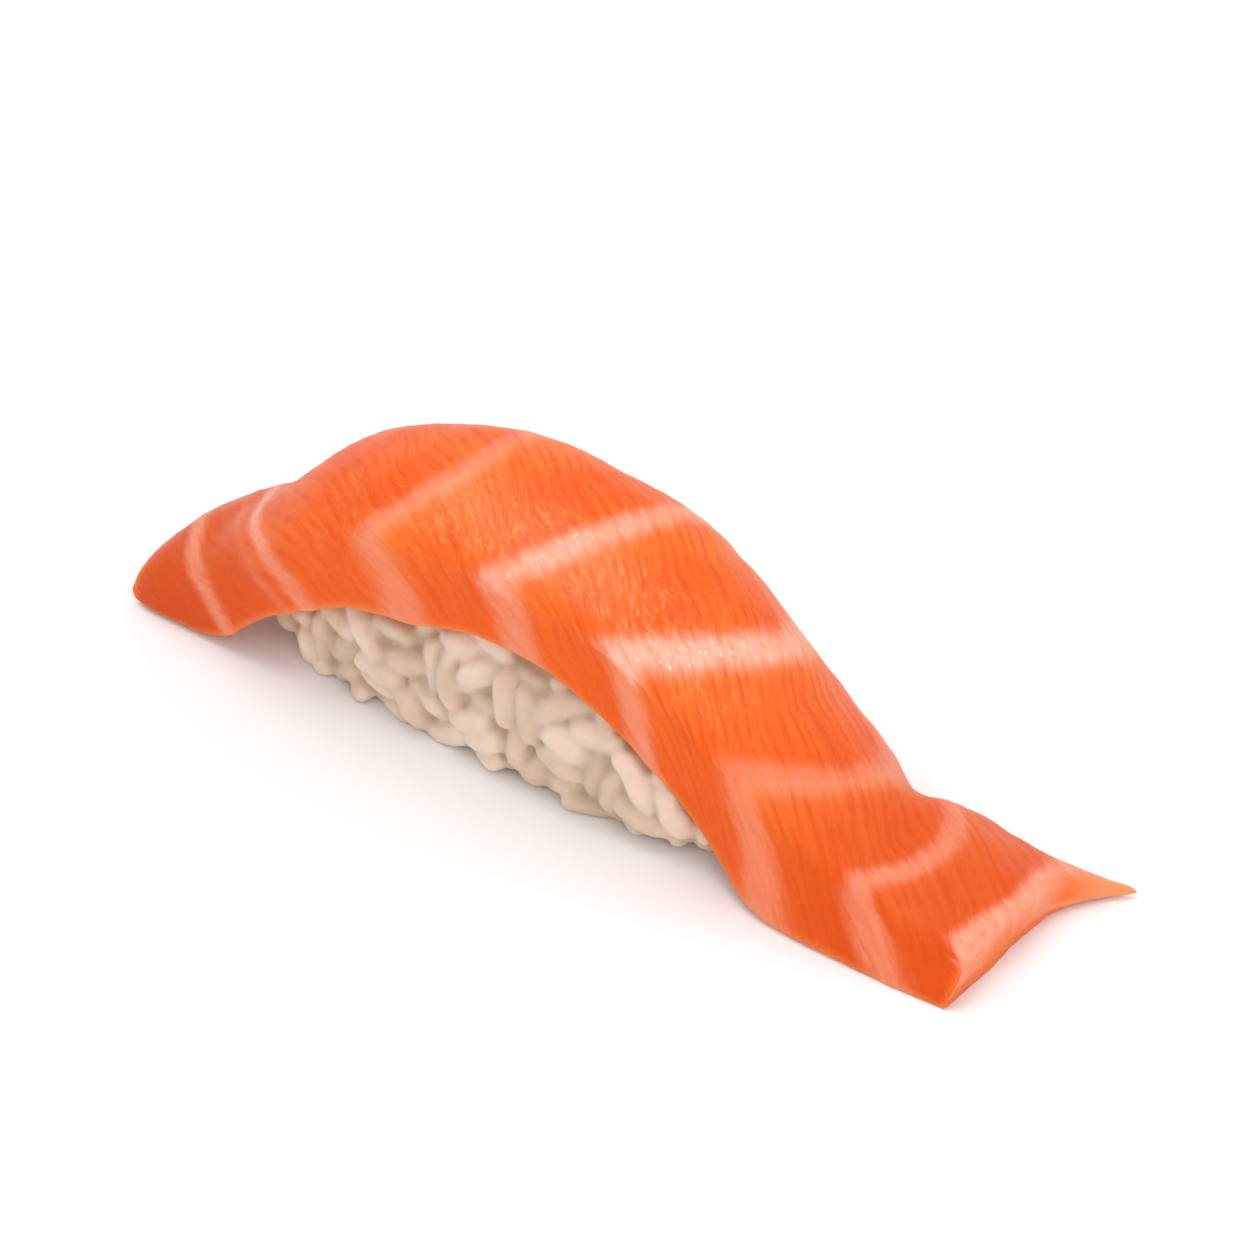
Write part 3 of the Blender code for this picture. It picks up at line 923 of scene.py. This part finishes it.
def salmon_surface(n, spot, muscle):
    """Smoother and more thickly coated with juice where it is wet, over a very fine relief."""
    rough = n.math("MULTIPLY_ADD", muscle.fine, 0.2, 0.3)
    n.put("Roughness", n.math("MULTIPLY_ADD", spot.wet, -0.1, rough))
    speckle = n.noise(spot.place, 3.0, 3.0, 0.6)
    relief = n.math("SUBTRACT", n.times(muscle.fine, 0.7), n.times(muscle.seams, 0.2))
    normal = n.bump(speckle, 0.15, 0.0004)
    n.put("Normal", n.bump(relief, 0.14, 0.0004, normal))
    n.put("Coat Normal", n.bump(n.math("ADD", spot.fleck, speckle), 0.3, 0.0002))
    shine = n.times(spot.wet, n.math("MULTIPLY_ADD", spot.fleck, 0.5, 0.5))
    n.put("Coat Weight", n.ramp(shine, 0.0, 1.0, 0.06, 0.46))
    n.put("Coat Roughness", 0.08)
    n.put("IOR", 1.36)
    n.put("Specular IOR Level", 0.15)
    n.put("Subsurface Weight", 0.3)
    n.put("Subsurface Radius", (1.0, 0.3, 0.1))
    n.put("Subsurface Scale", 0.0018)


def salmon_material():
    n = Nodes("salmon")
    spot = salmon_spot(n)
    muscle = salmon_muscle(n, spot.fibre)
    skin = salmon_flesh(n, spot, muscle)
    skin = salmon_ends(n, spot, muscle, skin)
    n.put("Base Color", salmon_fat(n, spot, muscle, skin))
    salmon_surface(n, spot, muscle)
    return n.material


def rice_material():
    """Milky grains, each with its own tone, and painted shade in the creases between them."""
    n = Nodes("rice")
    tone = n.attribute("tone").outputs["Fac"]
    hollow = n.attribute("hollow").outputs["Fac"]
    where = n.add("ShaderNodeTexCoord").outputs["Object"]
    share = n.math("ADD", n.times(tone, 0.5), n.times(n.noise(where, 420.0), 0.5))
    skin = n.mix(n.ramp(share, 0.25, 0.75), RICE_DARK, RICE_LIGHT)
    # painted shade: darker in the creases, the deeper a point lies below the rice solid's surface
    n.put("Base Color", n.mix(n.ramp(hollow, -0.2, 1.1, 0.0, 0.7), skin, RICE_CREASE_SHADE))
    n.put("Roughness", n.math("MULTIPLY_ADD", n.noise(where, 1500.0), 0.2, 0.32))
    n.put("Normal", n.bump(n.noise(where, 900.0, 3.0), 0.25, 0.0003))
    n.put("Coat Weight", 0.3)
    n.put("Coat Roughness", 0.2)
    n.put("IOR", 1.4)
    n.put("Subsurface Weight", 0.6)
    n.put("Subsurface Radius", (1.0, 0.7, 0.5))
    n.put("Subsurface Scale", 0.0016)
    return n.material


def floor_material():
    n = Nodes("floor")
    n.put("Base Color", FLOOR_WHITE)
    n.put("Roughness", 0.9)
    return n.material


# The studio, in metres

Light = namedtuple("Light", "name place size watts")
LIGHTS = (
    Light("key", (-0.16, 0.04, 0.58), 0.50, 1.3),
    Light("left_spark", (-0.145, -0.025, 0.60), 0.045, 0.1),
    Light("right_spark", (0.215, 0.31, 0.485), 0.045, 0.1),
    Light("fill", (0.40, -0.28, 0.22), 0.40, 0.6),
)
LIGHT_AIM = Vector((0, 0, 0.01))
WORLD_STRENGTH = 0.74
FLOOR_HALF = 1.5
CAMERA_AZIMUTH = np.radians(36)
CAMERA_ELEVATION = np.radians(35)
CAMERA_DISTANCE = 376  # mm, from the point it looks at
CAMERA_TARGET = np.array([0, 0, 9.4])
CAMERA_LENS = 131.4
CAMERA_SENSOR = 36


def add_floor():
    corners = [(x * FLOOR_HALF, y * FLOOR_HALF, 0) for x, y in ((-1, -1), (1, -1), (1, 1), (-1, 1))]
    mesh = bpy.data.meshes.new("floor")
    mesh.from_pydata(corners, [], [(0, 1, 2, 3)])
    mesh.materials.append(floor_material())
    obj = bpy.data.objects.new("floor", mesh)
    bpy.context.scene.collection.objects.link(obj)


def add_light(name, place, size, watts):
    light = bpy.data.lights.new(name, "AREA")
    light.shape = "DISK"
    light.size = size
    light.energy = watts
    obj = bpy.data.objects.new(name, light)
    obj.location = place
    obj.rotation_euler = (LIGHT_AIM - Vector(place)).to_track_quat("-Z", "Y").to_euler()
    bpy.context.scene.collection.objects.link(obj)


def add_world():
    world = bpy.data.worlds.new("studio")
    world.use_nodes = True
    background = world.node_tree.nodes["Background"]
    background.inputs["Color"].default_value = (1, 1, 1, 1)
    background.inputs["Strength"].default_value = WORLD_STRENGTH
    bpy.context.scene.world = world


def add_camera():
    level = np.array([np.sin(CAMERA_AZIMUTH), -np.cos(CAMERA_AZIMUTH)]) * np.cos(CAMERA_ELEVATION)
    back = np.array([*level, np.sin(CAMERA_ELEVATION)])
    camera = bpy.data.cameras.new("camera")
    camera.sensor_width = CAMERA_SENSOR
    camera.lens = CAMERA_LENS
    camera.clip_start = 0.01
    obj = bpy.data.objects.new("camera", camera)
    obj.location = to_frame(CAMERA_TARGET + back * CAMERA_DISTANCE)
    obj.rotation_euler = Vector(back).to_track_quat("Z", "Y").to_euler()
    bpy.context.scene.collection.objects.link(obj)
    bpy.context.scene.camera = obj


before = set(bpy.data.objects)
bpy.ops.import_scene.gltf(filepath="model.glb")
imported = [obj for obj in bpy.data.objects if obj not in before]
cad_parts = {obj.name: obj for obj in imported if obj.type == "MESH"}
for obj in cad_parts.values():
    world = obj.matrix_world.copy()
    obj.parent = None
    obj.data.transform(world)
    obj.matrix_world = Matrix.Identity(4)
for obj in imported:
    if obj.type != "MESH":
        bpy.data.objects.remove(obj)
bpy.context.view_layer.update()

flesh = make_slice(salmon_material())
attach(flesh, "root")
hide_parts("salmon_slice")

rice = make_rice(rice_material())
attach(rice, "root")
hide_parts("rice_bed")

add_floor()
add_world()
for light in LIGHTS:
    add_light(*light)
add_camera()
bpy.context.scene.view_settings.view_transform = "Standard"
